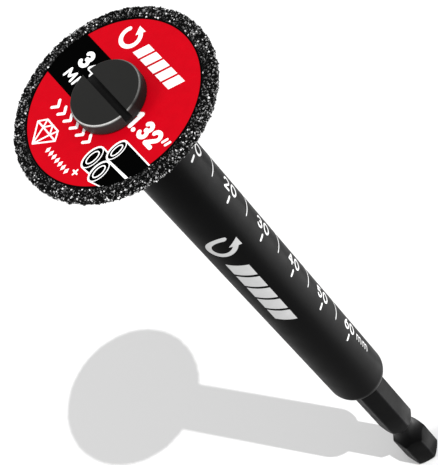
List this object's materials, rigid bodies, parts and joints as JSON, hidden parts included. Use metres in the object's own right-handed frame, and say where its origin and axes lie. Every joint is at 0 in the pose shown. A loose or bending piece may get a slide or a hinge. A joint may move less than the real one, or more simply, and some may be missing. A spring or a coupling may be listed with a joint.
{
  "type": "internal pipe cutter",
  "caption": "Drill-driven mandrel with a hex shank and a clamped diamond-grit disc, for cutting and deburring plastic pipe from the inside.",
  "frame": {"origin": "centre of the flat end face of the hex shank", "axes": "+Z along the tool's axis from the shank's end towards the disc; +X through a corner of the hex shank; +Y through the middle of one of its flats"},
  "size_m": [0.034, 0.034, 0.1429],
  "materials": {
    "barrel_black": "satin black coating over turned steel",
    "shank_black": "satin black oxide on hex bar",
    "disc_steel": "dark plated sheet steel",
    "diamond_grit": "rough black bonded diamond grit with glittering grains",
    "label_red": "semi-gloss printed film",
    "print_white": "white ink printed on the film and on the barrel",
    "print_black": "black ink printed on the film",
    "screw_black": "matt black oxide, worn bright on the head's edge"
  },
  "bodies": {
    "mandrel": {"barrel": "barrel_black", "hex_shank": "shank_black"},
    "disc": {"disc_core": "disc_steel", "grit_rim": "diamond_grit", "face_label": "label_red"},
    "screw": {"clamp_screw": "screw_black"}
  },
  "joints": [
    {"name": "disc_slide", "type": "slide", "parent": "mandrel", "child": "disc", "axis": [0, 0, 1], "range_m": [0, 0.0088]},
    {"name": "screw_turn", "type": "hinge", "parent": "disc", "child": "screw", "pos_m": [0, 0, 0.14055], "axis": [0, 0, 1], "range_deg": [0, 3960]}
  ],
  "couplings": [
    {"joint": "screw_turn", "follows": "disc_slide", "rad_per_m": 7854}
  ]
}
